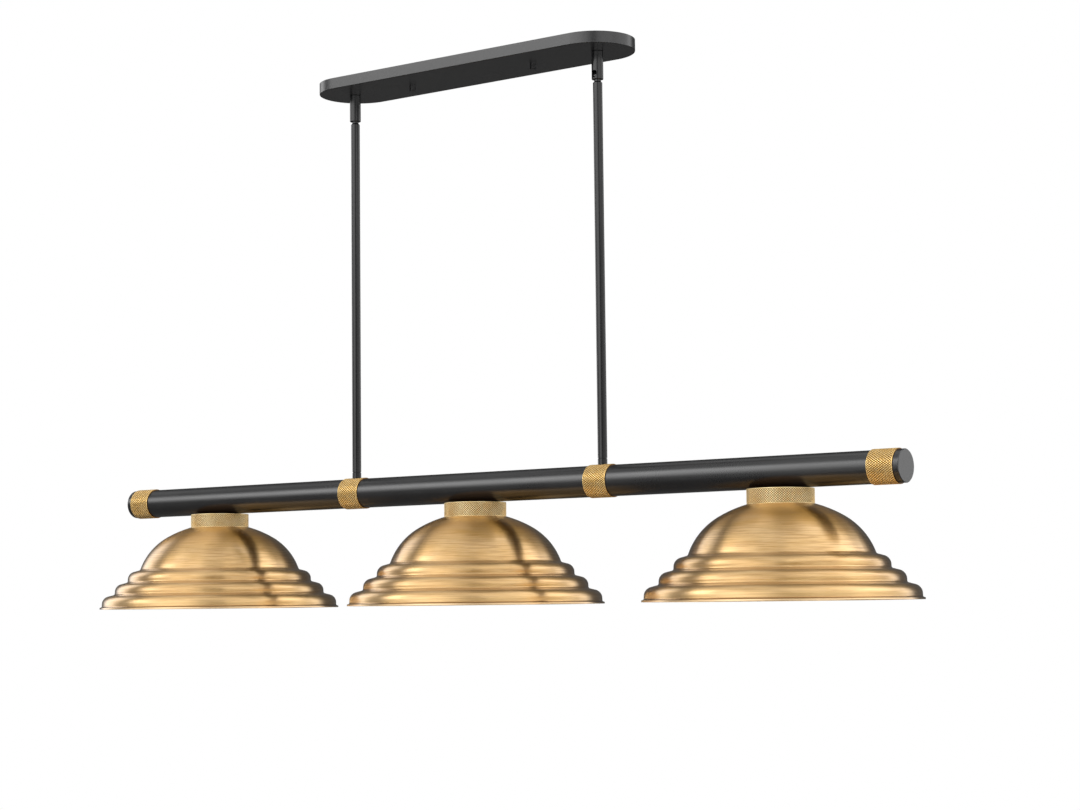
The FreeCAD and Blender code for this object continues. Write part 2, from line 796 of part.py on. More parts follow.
def make_main_tube():
    """The long tube, drilled above for the rods and below for the lamps."""
    start = "-tube_length / 2"
    outside = cylinder("tube_outside", "tube_radius", "tube_length", start, z=TUBE_LEVEL, turn=ON_SIDE)
    bore = cylinder("tube_bore", TUBE_BORE, "tube_length + 2 * overrun", start + " - overrun",
                    z=TUBE_LEVEL, turn=ON_SIDE)
    tools = [bore]
    for side, sign in RODS:
        tools.append(cylinder("tube_top_hole_" + side, NIPPLE_HOLE, "tube_radius + overrun",
                              rod_place(sign), z=TUBE_LEVEL))
    for side, sign in SHADES:
        tools.append(cylinder("tube_low_hole_" + side, NIPPLE_HOLE, "tube_radius + overrun",
                              shade_place(sign), z=TUBE_LEVEL + " - tube_radius - overrun"))
    return node(cut("tube", outside, *tools), "main_tube")


def make_end_cap(side, sign):
    """The turned cap that closes the tube, with the hollow plug that holds it there."""
    plug = "(tube_radius - tube_wall - thread_gap)"
    outline = [
        ("0", "cap_length"),
        ("0", "cap_length - cap_face_thickness"),
        (plug + " - cap_plug_wall", "cap_length - cap_face_thickness"),
        (plug + " - cap_plug_wall", "-cap_plug_length"),
        (plug, "-cap_plug_length"),
        (plug, "0"),
        ("tube_radius", "0"),
        ("tube_radius", "cap_length - cap_edge"),
        ("tube_radius - cap_edge", "cap_length"),
    ]
    turn = ON_SIDE if sign > 0 else FACING_LEFT
    body = turned_body("cap_" + side, outline, "%d * tube_length / 2" % sign, z=TUBE_LEVEL, turn=turn)
    return node(body, "end_cap_" + side)


def sleeve_outline():
    """A plain ring with eased edges, from its near face along its axis."""
    inside = "(tube_radius + seat_gap)"
    return [
        (inside, "0"),
        ("sleeve_radius - sleeve_edge", "0"),
        ("sleeve_radius", "sleeve_edge"),
        ("sleeve_radius", "sleeve_width - sleeve_edge"),
        ("sleeve_radius - sleeve_edge", "sleeve_width"),
        (inside, "sleeve_width"),
    ]


def make_end_ring(side, sign):
    """The knurled sleeve at the tube's end."""
    start = "tube_length / 2 - sleeve_width" if sign > 0 else "-tube_length / 2"
    body = turned_body("end_sleeve_" + side, sleeve_outline(), start, z=TUBE_LEVEL, turn=ON_SIDE)
    return node(body, "end_ring_" + side)


def make_stem_ring(side, sign):
    """The knurled sleeve under a rod, drilled for the nipple."""
    x = rod_place(sign)
    body = turned_body("stem_sleeve_" + side, sleeve_outline(), x + " - sleeve_width / 2",
                       z=TUBE_LEVEL, turn=ON_SIDE)
    hole = cylinder("stem_sleeve_hole_" + side, NIPPLE_HOLE, "sleeve_radius + overrun", x, z=TUBE_LEVEL)
    return node(cut("stem_ring_cut_" + side, body, hole), "stem_ring_" + side)


# Shades and lamp holders

def make_neck_cup(side, sign):
    """The knurled cup, mouth down, between the tube and the shade, its lip cut to the dome."""
    inner_climb = "sqrt(crown_radius ^ 2 - (cup_radius - cup_skin) ^ 2)"
    outer_climb = "sqrt(crown_radius ^ 2 - cup_radius ^ 2)"
    outline = [
        (NIPPLE_HOLE, "0"),
        ("cup_radius - cup_edge", "0"),
        ("cup_radius", "-cup_edge"),
        ("cup_radius", "-cup_height"),
        ("cup_radius - cup_skin", "-cup_height + %s - %s" % (inner_climb, outer_climb)),
        ("cup_radius - cup_skin", "-cup_skin"),
        (NIPPLE_HOLE, "-cup_skin"),
    ]
    body = turned_body("cup_" + side, outline, shade_place(sign), z=CUP_TOP)
    return node(body, "neck_cup_" + side)


def shade_outline():
    """The shade as a solid: lip, three steps, then a haunch and a crown that meet smoothly."""
    foot_radius = "(shade_radius - lip_reach)"
    foot_level = "(rim_height + lip_edge + lip_rise)"
    outline = [
        ("0", "rim_height"),
        ("shade_radius", "rim_height"),
        ("shade_radius", "rim_height + lip_edge"),
        (foot_radius, foot_level),
    ]
    for step in (0, 1, 2):
        radius = "(%s - %d * step_run)" % (foot_radius, step)
        level = "(%s + %d * step_rise)" % (foot_level, step)
        if step:
            outline.append((radius, level))
        outline.append((radius + " - step_lean", level + " + step_rise - tread_rise"))
    centre_climb = "sqrt((crown_radius - haunch_radius) ^ 2 - haunch_centre_offset ^ 2)"
    haunch_level = "(%s + %s)" % (CROWN_CENTRE, centre_climb)
    dome_level = "(%s + 3 * step_rise)" % foot_level
    dome_reach = "sqrt(haunch_radius ^ 2 - (%s - %s) ^ 2)" % (dome_level, haunch_level)
    dome_foot = "haunch_centre_offset + %s" % dome_reach
    outline.append((dome_foot, dome_level))
    grow_share = "crown_radius / (crown_radius - haunch_radius)"
    outline.append(("haunch_centre_offset * %s" % grow_share,
                    "%s + (%s - %s) * %s" % (CROWN_CENTRE, haunch_level, CROWN_CENTRE, grow_share),
                    "haunch_radius", -1))
    outline.append(("shade_seat_radius", DOME_AT_SEAT, "crown_radius", -1))
    outline.append(("0", DOME_AT_SEAT))
    return outline


def make_shade(side, sign):
    """The spun metal shade: a turned blank, rounded at its steps and hollowed to a thin skin."""
    outline = shade_outline()
    body = turned_body("shade_blank_" + side, outline, shade_place(sign), z=RIM_LEVEL)
    blank = body.Tip
    corners = [entry[:2] for entry in outline]
    lip_root = corners[3:4]
    shoulders = corners[4:9:2]
    valleys = corners[5:10:2]
    rounding = body.newObject("PartDesign::Fillet", "shoulders_" + side)
    rounding.Base = (blank, circles_at(blank.Shape, shoulders))
    bind(rounding, Radius="shoulder_radius")
    doc.recompute()
    hollowing = body.newObject("PartDesign::Fillet", "valleys_" + side)
    hollowing.Base = (rounding, circles_at(rounding.Shape, valleys))
    bind(hollowing, Radius="valley_radius")
    doc.recompute()
    easing = body.newObject("PartDesign::Fillet", "lip_root_" + side)
    easing.Base = (hollowing, circles_at(hollowing.Shape, lip_root))
    bind(easing, Radius="lip_root_radius")
    doc.recompute()
    open_face = []
    for number, face in enumerate(easing.Shape.Faces, start=1):
        flat = isinstance(face.Surface, Part.Plane)
        if flat and abs(face.BoundBox.ZMin - value("rim_height")) < value("seat_gap"):
            open_face.append("Face%d" % number)
    skin = body.newObject("PartDesign::Thickness", "skin_" + side)
    skin.Base = (easing, open_face)
    skin.Mode = 0
    skin.Join = 0
    skin.Reversed = True
    bind(skin, Value="shade_skin")
    doc.recompute()
    hole = new_sketch(body, "shade_hole_" + side, "XY_Plane")
    draw_circle(hole, "holder_skirt_radius + thread_gap")
    pocket(body, "shade_drilled_" + side, hole, "2 * crown_height", both_ways=True)
    return node(body, "shade_" + side)


def make_lamp_holder(side, sign):
    """The moulded holder: a cap on the nipple, a flange on the shade and a skirt through it."""
    top = "(%s - %s - seat_gap)" % (CUP_CEILING, SHADE_SEAT)
    outline = [
        ("nipple_radius + thread_gap", top),
        ("holder_top_radius", top),
        ("holder_flange_radius", "holder_flange_thickness"),
        ("holder_flange_radius", "0"),
        ("holder_skirt_radius", "0"),
        ("holder_skirt_radius", "-holder_skirt_length"),
        ("holder_cavity_radius", "-holder_skirt_length"),
        ("holder_cavity_radius", "-holder_web"),
        ("lead_bore", "-holder_web"),
        ("lead_bore", top + " - holder_thread_depth"),
        ("nipple_radius + thread_gap", top + " - holder_thread_depth"),
    ]
    body = turned_body("holder_" + side, outline, shade_place(sign), z=SHADE_SEAT)
    return node(body, "lamp_holder_" + side)


def make_screw_shell(side, sign):
    """The thin brass shell that the bulb screws into, closed above except round the contact."""
    inside = "(bulb_base_radius + shell_gap)"
    outline = [
        ("contact_radius + shell_gap + seat_gap", "0"),
        (inside + " + shell_wall", "0"),
        (inside + " + shell_wall", "-shell_length"),
        (inside, "-shell_length"),
        (inside, "-shell_top_thickness"),
        ("contact_radius + shell_gap + seat_gap", "-shell_top_thickness"),
    ]
    body = turned_body("screw_shell_blank_" + side, outline, shade_place(sign), z=SHELL_TOP)
    return node(body, "screw_shell_" + side)


def make_shade_ring(side, sign):
    """The threaded ring under the shade that clamps it to the holder's flange."""
    inside = "(holder_skirt_radius + thread_gap)"
    outline = [
        (inside, "0"),
        ("ring_radius - ring_edge", "0"),
        ("ring_radius", "-ring_edge"),
        ("ring_radius", "ring_edge - ring_height"),
        ("ring_radius - ring_edge", "-ring_height"),
        (inside, "-ring_height"),
    ]
    body = turned_body("ring_" + side, outline, shade_place(sign),
                       z=SHADE_SEAT + " - shade_skin - seat_gap")
    return node(body, "shade_ring_" + side)


def make_bulb(side, sign):
    """The bulb's metal base and its glass."""
    x = shade_place(sign)
    base_end = "(-bulb_tip_height - bulb_base_length)"
    base = [
        ("0", "0"),
        ("bulb_tip_radius", "-bulb_tip_height / 2"),
        ("bulb_tip_radius", "-bulb_tip_height"),
        ("bulb_base_radius", "-bulb_shoulder"),
        ("bulb_base_radius", base_end),
        ("bulb_base_radius - bulb_glass", base_end),
        ("bulb_base_radius - bulb_glass", "-bulb_shoulder - bulb_tip_height"),
        ("0", "-bulb_shoulder - bulb_tip_height"),
    ]
    base_body = turned_body("bulb_cap_" + side, base, x, z=BULB_TOP)
    node(base_body, "bulb_base_" + side)
    centre = "(bulb_radius - bulb_length)"
    rise = "(bulb_radius * %s)" % BULB_JOIN_SHARE
    inner_radius = "(bulb_radius - bulb_glass)"
    inner_rise = "(%s * %s)" % (inner_radius, BULB_JOIN_SHARE)
    neck = base_end + " - seat_gap"
    glass = [
        ("bulb_base_radius", neck),
        ("sqrt(bulb_radius ^ 2 - %s ^ 2)" % rise, "%s + %s" % (centre, rise), "bulb_neck_curve", -1),
        ("0", "-bulb_length", "bulb_radius", 1),
        ("0", "bulb_glass - bulb_length"),
        ("sqrt(%s ^ 2 - %s ^ 2)" % (inner_radius, inner_rise), "%s + %s" % (centre, inner_rise),
         inner_radius, -1),
        ("bulb_base_radius - bulb_glass", neck, "bulb_neck_curve", 1),
    ]
    glass_body = turned_body("bulb_glass_blank_" + side, glass, x, z=BULB_TOP)
    node(glass_body, "bulb_glass_" + side)


def make_lamp_fixings():
    """Inside the tube over each lamp: nipple, saddle and nut; in each holder, the centre contact."""
    nipples = []
    saddles = []
    nuts = []
    contacts = []
    saddle_face = "(%s - %s + seat_gap + saddle_height)" % (TUBE_LEVEL, TUBE_BORE)
    high = "(%s + hex_nut_height + nipple_proud)" % saddle_face
    low = "(%s - holder_thread_depth + lead_end_gap)" % CUP_CEILING
    for side, sign in SHADES:
        x = shade_place(sign)
        nipples.append(hollow_nipple("lamp_nipple_" + side, "%s - %s" % (high, low), x, low))
        saddles.append(make_saddle("lamp_saddle_" + side, x, -1))
        nuts.append(hex_nut("lamp_nut_" + side, x, saddle_face))
        contacts.append(cylinder("contact_" + side, "contact_radius", "contact_thickness", x,
                                 z=SHELL_TOP + " - contact_thickness"))
    group("lamp_nipples", nipples)
    group("lamp_saddles", saddles)
    group("lamp_nuts", nuts)
    group("centre_contacts", contacts)


# Leads

def make_leads():
    """One twin flex for each lamp, up the left rod, cut where the swivel turns."""
    rod_x = value(rod_place(-1))
    ball = value(BALL_LEVEL)
    tube = value(TUBE_LEVEL)
    above_ball = ball + value("ball_radius + lead_end_gap")
    under_top = ball + value("neck_radius")
    lamp_end = value(SHADE_SEAT) - value("holder_web") + value("lead_end_gap")
    canopy_run = -value("bracket_thickness + block_height / 2")
    block_face = -value("block_length / 2") + value("block_entry_depth") - value("lead_end_gap")
    turn_out = value("lock_nut_flats + 2 * lead_radius")
    bends = [value("canopy_bend")] + [value("canopy_lead_bend")] * 4
    canopy_leads = []
    for number, (side, sign) in enumerate(SHADES):
        lane = (number - 1) * value("lead_pitch")
        lamp_x = value(shade_place(sign))
        points = [
            Vector(rod_x, lane, under_top),
            Vector(rod_x, lane, tube),
            Vector(lamp_x, lane, tube),
            Vector(lamp_x, lane, lamp_end),
        ]
        solid = lead_solid(points, [value("lead_bend")] * 2)
        node(lead_feature("lead_" + side, solid), "lamp_lead_" + side)
        entry = (number - 1) * value("block_pitch")
        points = [
            Vector(rod_x, lane, above_ball),
            Vector(rod_x, lane, canopy_run),
            Vector((rod_x - value("stud_spacing") / 2) / 2, lane, canopy_run),
            Vector(-value("stud_spacing + bracket_width") / 2, turn_out + lane, canopy_run),
            Vector(-value("stud_spacing - bracket_width") / 2, turn_out + lane, canopy_run),
            Vector(-value("block_length"), entry, canopy_run),
            Vector(block_face, entry, canopy_run),
        ]
        canopy_leads.append(lead_feature("canopy_lead_" + side, lead_solid(points, bends)))
    group("canopy_leads", canopy_leads)


def make_all():
    """Every sub-part, from the ceiling down."""
    make_canopy_cover()
    make_mounting_bracket()
    make_canopy_fixings()
    make_ground_screw()
    make_terminal_block()
    for side, sign in RODS:
        make_coupler(side, sign)
        make_ball_stud(side, sign)
        make_rod(side, sign)
        make_foot(side, sign)
        make_stem_ring(side, sign)
        make_end_ring(side, sign)
        make_end_cap(side, sign)
    make_coupler_fixings()
    make_stem_fixings()
    make_main_tube()
    for side, sign in SHADES:
        make_neck_cup(side, sign)
        make_shade(side, sign)
        make_lamp_holder(side, sign)
        make_screw_shell(side, sign)
        make_shade_ring(side, sign)
        make_bulb(side, sign)
    make_lamp_fixings()
    make_leads()


def write_all():
    """Check everything, then write one file for each sub-part."""
    doc.recompute()
    for thing in doc.Objects:
        if "Invalid" in thing.State or "Error" in thing.State:
            raise RuntimeError("%s failed: %s" % (thing.Name, thing.State))
    for thing in nodes:
        if thing.Shape.isNull() or not thing.Shape.isValid() or not thing.Shape.Solids:
            raise RuntimeError(thing.Label + " has no good solid")
    os.makedirs("parts", exist_ok=True)
    for thing in nodes:
        thing.Shape.exportStep("parts/%s.step" % thing.Label)
        box = thing.Shape.BoundBox
        print("%-20s %d solid(s) %9.0f mm3  z %.1f to %.1f" % (
            thing.Label, len(thing.Shape.Solids), thing.Shape.Volume, box.ZMin, box.ZMax))
    print(len(nodes), "sub-parts")


make_all()
write_all()
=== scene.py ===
"""Looks of a linear pendant light: black canopy, rods and tube, knurled sleeves, brass shades.

Everything is in metres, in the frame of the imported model: +X along the light, +Z up, the ceiling at
zero. The rigid parts keep their own meshes and get their finishes here. The knurled sleeves and
cups are built here with every diamond cut, and stand where the plain rings are.
"""

import json
import math

import bmesh
import bpy
from mathutils import Euler, Matrix, Vector

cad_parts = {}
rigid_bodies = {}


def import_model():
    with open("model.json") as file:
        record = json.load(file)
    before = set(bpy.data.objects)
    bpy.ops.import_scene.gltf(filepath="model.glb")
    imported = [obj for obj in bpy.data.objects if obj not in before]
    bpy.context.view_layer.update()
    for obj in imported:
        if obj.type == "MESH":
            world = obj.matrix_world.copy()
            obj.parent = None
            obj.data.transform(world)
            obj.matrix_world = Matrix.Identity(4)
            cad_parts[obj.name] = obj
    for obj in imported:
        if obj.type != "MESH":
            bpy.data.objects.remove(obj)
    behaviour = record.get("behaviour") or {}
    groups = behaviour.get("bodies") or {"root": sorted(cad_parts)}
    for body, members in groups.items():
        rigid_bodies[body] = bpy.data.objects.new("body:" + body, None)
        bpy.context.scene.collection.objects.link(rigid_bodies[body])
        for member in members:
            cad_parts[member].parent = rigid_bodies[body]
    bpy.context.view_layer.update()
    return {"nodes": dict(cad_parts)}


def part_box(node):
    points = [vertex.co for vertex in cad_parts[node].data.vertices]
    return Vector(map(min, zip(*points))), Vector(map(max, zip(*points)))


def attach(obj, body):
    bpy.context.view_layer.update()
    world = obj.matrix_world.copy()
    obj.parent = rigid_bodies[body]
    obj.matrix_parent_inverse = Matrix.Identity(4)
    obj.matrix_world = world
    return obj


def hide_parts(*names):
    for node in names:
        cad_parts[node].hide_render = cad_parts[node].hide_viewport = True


MM = 0.001

# Camera, from the fit to the photograph
CAMERA_PLACE = Vector((2.0153, -2.5675, -0.7710))
CAMERA_YAW = 0.6375
CAMERA_PITCH = 0.0877
CAMERA_ROLL = -0.0110
PHOTO_WIDTH_PIXELS = 1080
FOCAL_PIXELS = 2354.28
SENSOR_WIDTH_MM = 36.0

# Knurling: a diamond's width and length, how deep it is cut, and how much of it is its flat crest
SLEEVE_DIAMOND = (3.0 * MM, 4.4 * MM)
CUP_DIAMOND = (3.3 * MM, 3.0 * MM)
DIAMOND_DEPTH = 0.5 * MM
CREST_SHARE = 0.52

# Plain borders beside the knurling, and the cut corners of the rings
SLEEVE_BORDER = 0.9 * MM
CUP_TOP_BORDER = 0.9 * MM
CUP_FOOT_BORDER = 0.35 * MM
CORNER_CUT = 0.35 * MM

# Inside of a cup, as on the plain one: its skin, the radius of the hole in its top, and how much
# higher its foot's inner edge is than the outer one, where it sits on the shade's crown
CUP_SKIN = 1.6 * MM
CUP_HOLE_RADIUS = 5.25 * MM
CUP_FOOT_CLIMB = 0.45 * MM

# Edges between faces that meet at more than this stay crisp
CRISP_ANGLE = math.radians(25)

# Bands on a shade, by height above its foot: in full up to the first, gone at the second. The rim
# has a painted highlight, the groove above it painted shade, and the lowest step a paler painted
# highlight.
RIM_HIGHLIGHT_BAND = (1.6 * MM, 1.8 * MM)
GROOVE_SHADE_BAND = (3.2 * MM, 4.16 * MM)
LOW_STEP_HIGHLIGHT_BAND = (9 * MM, 18 * MM)
LOW_STEP_HIGHLIGHT_SHARE = 0.3
# Painted shade by the neck, a deeper yellow-brown, by how far below the shade's top it lies
NECK_SHADE_BAND = (20 * MM, 40 * MM)
NECK_SHADE_SHARE = 0.85

# How far a crease's shadow reaches, and how open it is where the dark is full and where it ends
CREASE_REACH = 5 * MM
CREASE_OPENNESS = (0.45, 0.85)

# The part of a noise's range that most of it lies in
NOISE_LOW = 0.3
NOISE_HIGH = 0.7

FLOOR_LEVEL = -3.6
FLOOR_SIZE = 16.0
# Brings the floor up to the white behind it, for the camera alone
FLOOR_LIFT = 0.3

# Soft lamps that face the light's middle: name, place, width, height and radiance
OBJECT_MIDDLE = Vector((0.0, 0.0, -0.55))
PANELS = (
    ("key_panel", Vector((-0.90, -2.10, 1.25)), 2.6, 0.8, 1.2),
    ("front_panel", Vector((2.60, -1.20, 0.90)), 2.4, 1.4, 0.8),
)

# The room that the surfaces reflect: how bright it is all over, and its white screens. A screen
# runs from left to right and from low to high, in degrees seen from the light, with the camera's
# side at nothing, and then comes its brightness. One that goes all round passes 180 degrees, and
# the one overhead passes 90, so that no soft edge shows there.
STUDIO_TURN = math.radians(38)
ROOM_LEVEL = 0.03
SCREEN_SOFTNESS = 6.0
SCREENS = (
    # A faint glow all round, and a stronger one overhead
    (-190, 190, -28, 90, 0.06),
    (-190, 190, 66, 100, 0.3),
    # The canopy's side, and the highlights of the couplers and rods
    (-94, -12, 8, 19, 1.9),
    (-68, -25, -4, 9, 1.3),
    (12, 50, -3, 18, 0.4),
    # The streak along the tube, and softer light beside it and above it
    (-94, -72, 17, 35, 4.2),
    (-72, -45, 17, 35, 1.1),
    (-84, -62, 35, 80, 1.0),
    # The domes and steps: left side, middle and right side
    (-172, -84, 48, 82, 0.7),
    (-52, 108, 20, 72, 0.85),
    (-50, 60, 56, 84, 0.4),
    (50, 110, 0, 40, 0.8),
    (62, 106, 20, 80, 1.1),
    # The shades' left outlines
    (-118, -94, -30, 25, 0.35),
    (-146, -118, -4, 38, 1.8),
    # The tube's end
    (109, 124, -4, 30, 1.9),
    # From below: a faint second streak on the tube, and the lower parts of the shades
    (-88, -50, -32, -14, 0.45),
    (-60, 106, -45, -6, 2.5),
)

for leftover in list(bpy.data.objects):
    bpy.data.objects.remove(leftover)

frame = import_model()

ENDS = ("left", "right")
SHADES = ("left", "centre", "right")


# Node helpers

def new_material(name):
    """A material, its node tree and its main shader."""
    material = bpy.data.materials.new(name)
    material.use_nodes = True
    tree = material.node_tree
    return material, tree, tree.nodes["Principled BSDF"]


def add(tree, kind, **settings):
    """A node with the given settings."""
    made = tree.nodes.new(kind)
    for name, setting in settings.items():
        setattr(made, name, setting)
    return made


def feed(tree, target, source):
    """Link an output to an input, or set the input to a plain value."""
    if isinstance(source, bpy.types.NodeSocket):
        tree.links.new(source, target)
    else:
        target.default_value = source


def maths(tree, operation, first, second=0.0):
    """One sum on one or two values."""
    made = add(tree, "ShaderNodeMath", operation=operation)
    feed(tree, made.inputs[0], first)
    feed(tree, made.inputs[1], second)
    return made.outputs[0]


def vector_maths(tree, operation, first, second=None):
    """The node of one sum on one or two vectors."""
    made = add(tree, "ShaderNodeVectorMath", operation=operation)
    feed(tree, made.inputs[0], first)
    if second is not None:
        feed(tree, made.inputs[1], second)
    return made


def stretch(tree, value, low, high, to_low, to_high):
    """The value's range from low to high, mapped to another range and clamped."""
    made = add(tree, "ShaderNodeMapRange")
    for socket, number in zip(made.inputs, (value, low, high, to_low, to_high)):
        feed(tree, socket, number)
    return made.outputs[0]


def vary(tree, pattern, to_low, to_high):
    """A noise pattern's usual range, mapped to another range."""
    return stretch(tree, pattern, NOISE_LOW, NOISE_HIGH, to_low, to_high)


def mix(tree, share, first, second):
    """A colour between two colours."""
    made = add(tree, "ShaderNodeMix", data_type="RGBA")
    feed(tree, made.inputs["Factor"], share)
    feed(tree, made.inputs[6], first)
    feed(tree, made.inputs[7], second)
    return made.outputs[2]


def noise(tree, place, scale, detail, roughness=0.5):
    """Noise at a place."""
    made = add(tree, "ShaderNodeTexNoise")
    feed(tree, made.inputs["Vector"], place)
    made.inputs["Scale"].default_value = scale
    made.inputs["Detail"].default_value = detail
    made.inputs["Roughness"].default_value = roughness
    return made.outputs["Fac"]


def bump(tree, shader, height, distance, strength):
    """Raise the surface by a height in metres times the distance."""
    made = add(tree, "ShaderNodeBump")
    made.inputs["Strength"].default_value = strength
    made.inputs["Distance"].default_value = distance
    feed(tree, made.inputs["Height"], height)
    feed(tree, shader.inputs["Normal"], made.outputs["Normal"])


def object_place(tree):
    """The place on the object, in metres."""
    return add(tree, "ShaderNodeTexCoord").outputs["Object"]


def apart(tree, vector):
    """A vector's three parts."""
    made = add(tree, "ShaderNodeSeparateXYZ")
    feed(tree, made.inputs[0], vector)
    return made.outputs


def together(tree, parts):
    """A vector of up to three parts, with nothing for None."""
    made = add(tree, "ShaderNodeCombineXYZ")
    for socket, part in zip(made.inputs, parts):
        if part is not None:
            feed(tree, socket, part)
    return made.outputs[0]


def colour(red, green, blue):
    """A colour with no transparency."""
    return (red, green, blue, 1.0)


# Materials

def powder_black(name, roughness, ior):
    """Satin black powder coat: fine pebbled skin, uneven sheen and a faint haze of dust."""
    material, tree, shader = new_material(name)
    place = object_place(tree)
    cloud = noise(tree, place, scale=9.0, detail=3.0)
    pebble = noise(tree, place, scale=1900.0, detail=2.0)
    clean = colour(0.004, 0.004, 0.0045)
    dusty = colour(0.007, 0.007, 0.0075)
    dust = stretch(tree, cloud, 0.35, NOISE_HIGH, 0.0, 1.0)
    feed(tree, shader.inputs["Base Color"], mix(tree, dust, clean, dusty))
    uneven = maths(tree, "ADD", vary(tree, cloud, roughness - 0.02, roughness + 0.03),
                   vary(tree, pebble, -0.02, 0.02))
    feed(tree, shader.inputs["Roughness"], uneven)
    shader.inputs["IOR"].default_value = ior
    bump(tree, shader, pebble, distance=0.02 * MM, strength=0.6)
    return material


def from_axis(tree, middle):
    """The level way out from an upright axis through the middle, and the height over the middle."""
    centred = vector_maths(tree, "SUBTRACT", object_place(tree), middle)
    parts = apart(tree, centred.outputs[0])
    return together(tree, (parts[0], parts[1], None)), parts[2]


def turned_marks(tree, middle, along, across):
    """A place for marks that run round an upright axis: slow round it, fast along the outline."""
    out, height = from_axis(tree, middle)
    radius = vector_maths(tree, "LENGTH", out).outputs["Value"]
    way = vector_maths(tree, "NORMALIZE", out)
    slow = vector_maths(tree, "SCALE", way.outputs[0])
    slow.inputs["Scale"].default_value = along
    run = maths(tree, "MULTIPLY", maths(tree, "SUBTRACT", radius, height), across)
    fast = together(tree, (None, None, run))
    return vector_maths(tree, "ADD", slow.outputs[0], fast).outputs[0]


def creases(tree):
    """One deep in a hollow and nothing on open surfaces."""
    hollow = add(tree, "ShaderNodeAmbientOcclusion", samples=8, only_local=True)
    hollow.inputs["Distance"].default_value = CREASE_REACH
    return stretch(tree, hollow.outputs["AO"], *CREASE_OPENNESS, 1.0, 0.0)


def spun_brass(name, low, high):
    """Brass marked all round, with painted shade by the neck, in creases and above the rim, and
    painted highlights.
    """
    middle = (low + high) / 2
    material, tree, shader = new_material(name)
    hair_place = turned_marks(tree, middle, along=4.0, across=2600.0)
    hair = noise(tree, hair_place, scale=1.0, detail=3.0, roughness=0.7)
    streak_place = turned_marks(tree, middle, along=2.2, across=420.0)
    streak = noise(tree, streak_place, scale=1.0, detail=3.0, roughness=0.6)
    cloud = noise(tree, object_place(tree), scale=16.0, detail=4.0, roughness=0.6)
    height = apart(tree, object_place(tree))[2]

    def band(reach, share):
        """The share of a band that lies at the shade's foot."""
        full, gone = reach
        return stretch(tree, height, low.z + full, low.z + gone, share, 0.0)

    clouds = vary(tree, cloud, 0.0, 1.0)
    warm = mix(tree, clouds, colour(0.62, 0.37, 0.12), colour(0.70, 0.45, 0.18))
    lines = stretch(tree, streak, 0.42, 0.66, 0.0, 0.9)
    lined = mix(tree, lines, warm, colour(0.44, 0.23, 0.055))
    hairs = stretch(tree, hair, 0.4, 0.75, 0.0, 0.35)
    marked = mix(tree, hairs, lined, colour(0.86, 0.64, 0.40))
    # Painted shade: the dome's top is given a deeper yellow-brown, where it reflects little light
    near_top, far_from_top = NECK_SHADE_BAND
    neck = stretch(tree, height, high.z - far_from_top, high.z - near_top, 0.0, NECK_SHADE_SHARE)
    neck_shaded = mix(tree, neck, marked, colour(0.70, 0.37, 0.075))
    # Painted shade, dark in the creases
    crease = creases(tree)
    crease_shaded = mix(tree, crease, neck_shaded, colour(0.16, 0.07, 0.008))
    # Painted highlight: the lowest step paler
    low_step_highlighted = mix(tree, band(LOW_STEP_HIGHLIGHT_BAND, LOW_STEP_HIGHLIGHT_SHARE), crease_shaded, colour(0.97, 0.66, 0.30))
    # Painted shade: the groove over the rim dark
    groove_shaded = mix(tree, band(GROOVE_SHADE_BAND, 1.0), low_step_highlighted, colour(0.30, 0.145, 0.03))
    # Painted highlight: the rim bright
    rim_highlighted = mix(tree, band(RIM_HIGHLIGHT_BAND, 1.0), groove_shaded, colour(0.95, 0.68, 0.38))
    feed(tree, shader.inputs["Base Color"], rim_highlighted)
    shader.inputs["Metallic"].default_value = 1.0
    rough = maths(tree, "ADD", vary(tree, hair, 0.29, 0.36), vary(tree, streak, -0.03, 0.04))
    feed(tree, shader.inputs["Roughness"], rough)
    # A quarter turn from the way round, so that highlights spread up and down the outline
    shader.inputs["Anisotropic"].default_value = 0.9
    shader.inputs["Anisotropic Rotation"].default_value = 0.25
    tangent = add(tree, "ShaderNodeTangent", direction_type="RADIAL", axis="Z")
    feed(tree, shader.inputs["Tangent"], tangent.outputs[0])
    # Clear lacquer, except in the creases
    feed(tree, shader.inputs["Coat Weight"], maths(tree, "SUBTRACT", 1.0, crease))
    shader.inputs["Coat Roughness"].default_value = 0.22
    bump(tree, shader, hair, distance=0.03 * MM, strength=0.35)
    return material


def knurled_brass(name, crest, deep, pale):
    """Yellow brass, with painted shade dark in the valleys and none on the diamonds' crests."""
    material, tree, shader = new_material(name)
    place = object_place(tree)
    radius = vector_maths(tree, "LENGTH", from_axis(tree, (0, 0, 0))[0]).outputs["Value"]
    valley_shade_mask = stretch(tree, radius, crest - 0.7 * DIAMOND_DEPTH, crest, 0.0, 1.0)
    wear = noise(tree, place, scale=60.0, detail=3.0)
    speck = noise(tree, place, scale=900.0, detail=2.0)
    gold = mix(tree, vary(tree, wear, 0.0, 1.0), deep, pale)
    specks = stretch(tree, speck, 0.5, NOISE_HIGH, 0.0, 0.7)
    bright = mix(tree, specks, gold, colour(1.0, 0.86, 0.56))
    # Painted shade: dark deep in the knurling's valleys, clear on the crests
    feed(tree, shader.inputs["Base Color"], mix(tree, valley_shade_mask, colour(0.20, 0.09, 0.015), bright))
    shader.inputs["Metallic"].default_value = 0.8
    feed(tree, shader.inputs["Roughness"], vary(tree, wear, 0.34, 0.44))
    bump(tree, shader, speck, distance=0.02 * MM, strength=0.4)
    return material


